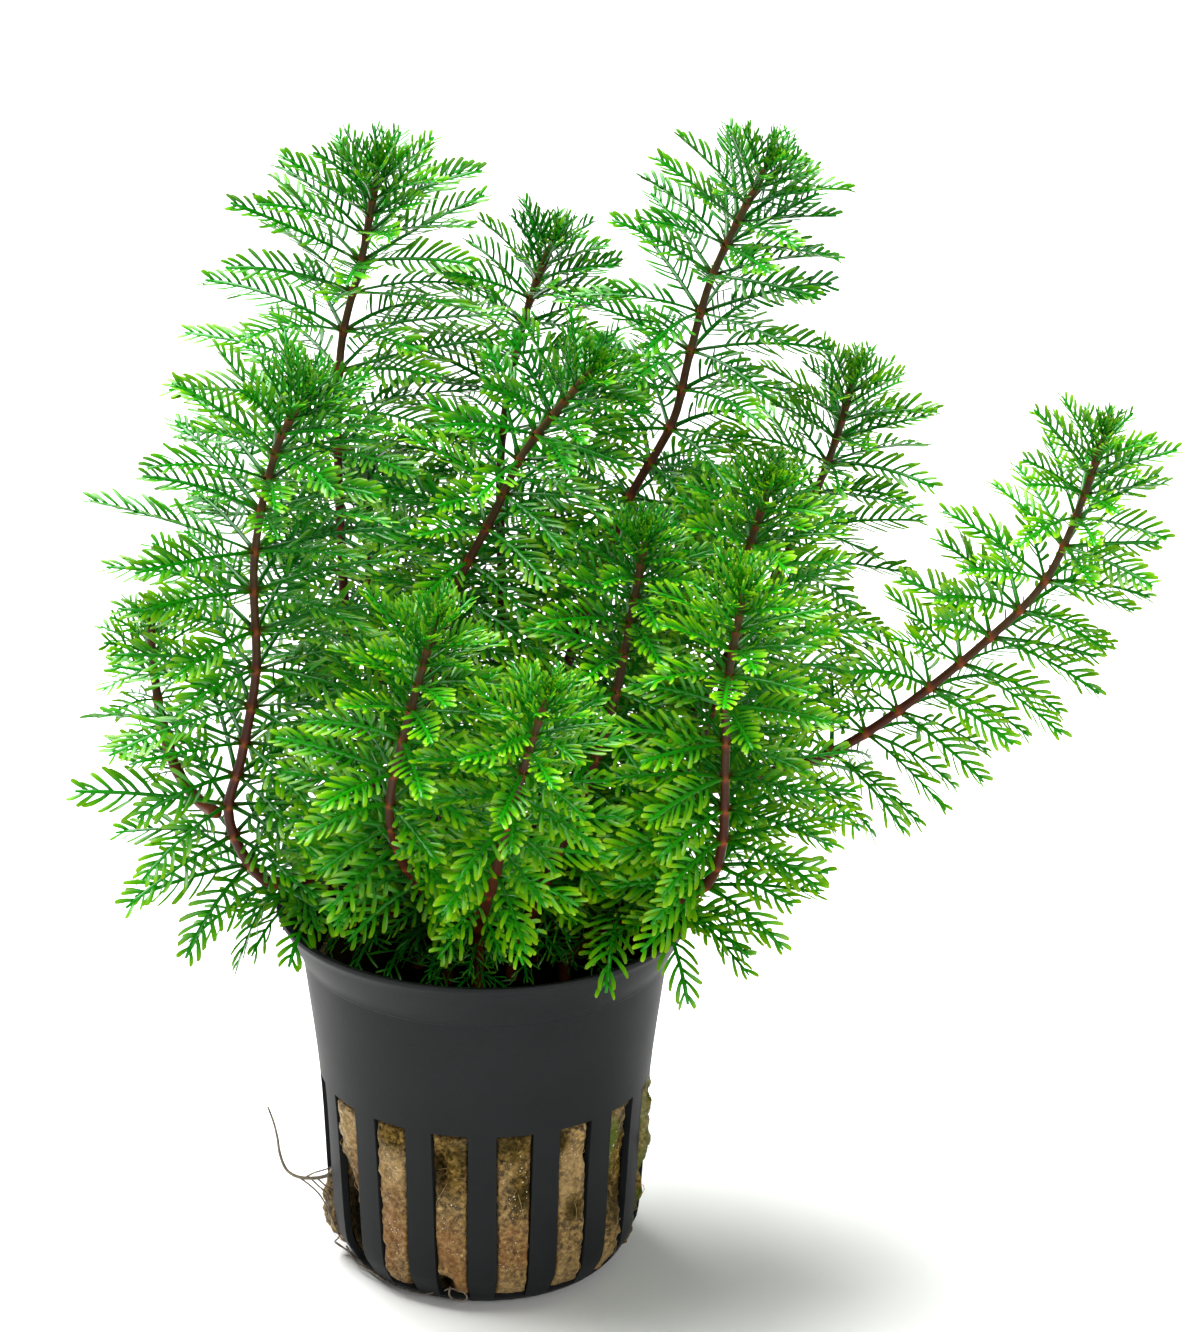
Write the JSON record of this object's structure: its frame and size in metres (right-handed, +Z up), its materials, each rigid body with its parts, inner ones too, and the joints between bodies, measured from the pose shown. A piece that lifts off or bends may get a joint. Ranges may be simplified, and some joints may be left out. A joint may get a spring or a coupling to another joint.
{
  "type": "potted aquarium plant",
  "caption": "Feathery water milfoil: leafy shoots with whorled, finely cut leaves growing from mineral wool in a slotted nursery pot.",
  "frame": {"origin": "centre of the pot's underside", "axes": "+Z up, along the pot's axis; -Y towards the viewer of the front; +X to the viewer's right, where the longest shoot leans"},
  "size_m": [0.1406, 0.0943, 0.1503],
  "materials": {
    "pot_plastic": "satin",
    "mineral_wool": "matte",
    "leaf": "satin",
    "stem": "satin",
    "root": "matte"
  },
  "bodies": {
    "root": {"pot": "pot_plastic", "wool_plug": "mineral_wool", "long_root": "root", "shoot_tall_left": "leaf", "shoot_left": "leaf", "shoot_back_middle": "leaf", "shoot_middle": "leaf", "shoot_tall_right": "leaf", "shoot_back_right": "leaf", "shoot_right": "leaf", "shoot_front_right": "leaf", "shoot_far_right": "leaf", "shoot_front_left": "leaf", "shoot_front_middle": "leaf", "shoot_centre": "leaf", "shoot_rear_left": "leaf", "shoot_rear_right": "leaf", "side_shoot_left": "leaf", "shoot_tall_left_foot": "stem", "shoot_left_foot": "stem", "shoot_back_middle_foot": "stem", "shoot_middle_foot": "stem", "shoot_tall_right_foot": "stem", "shoot_back_right_foot": "stem", "shoot_right_foot": "stem", "shoot_front_right_foot": "stem", "shoot_far_right_foot": "stem", "shoot_front_left_foot": "stem", "shoot_front_middle_foot": "stem", "shoot_centre_foot": "stem", "shoot_rear_left_foot": "stem", "shoot_rear_right_foot": "stem"}
  },
  "joints": []
}
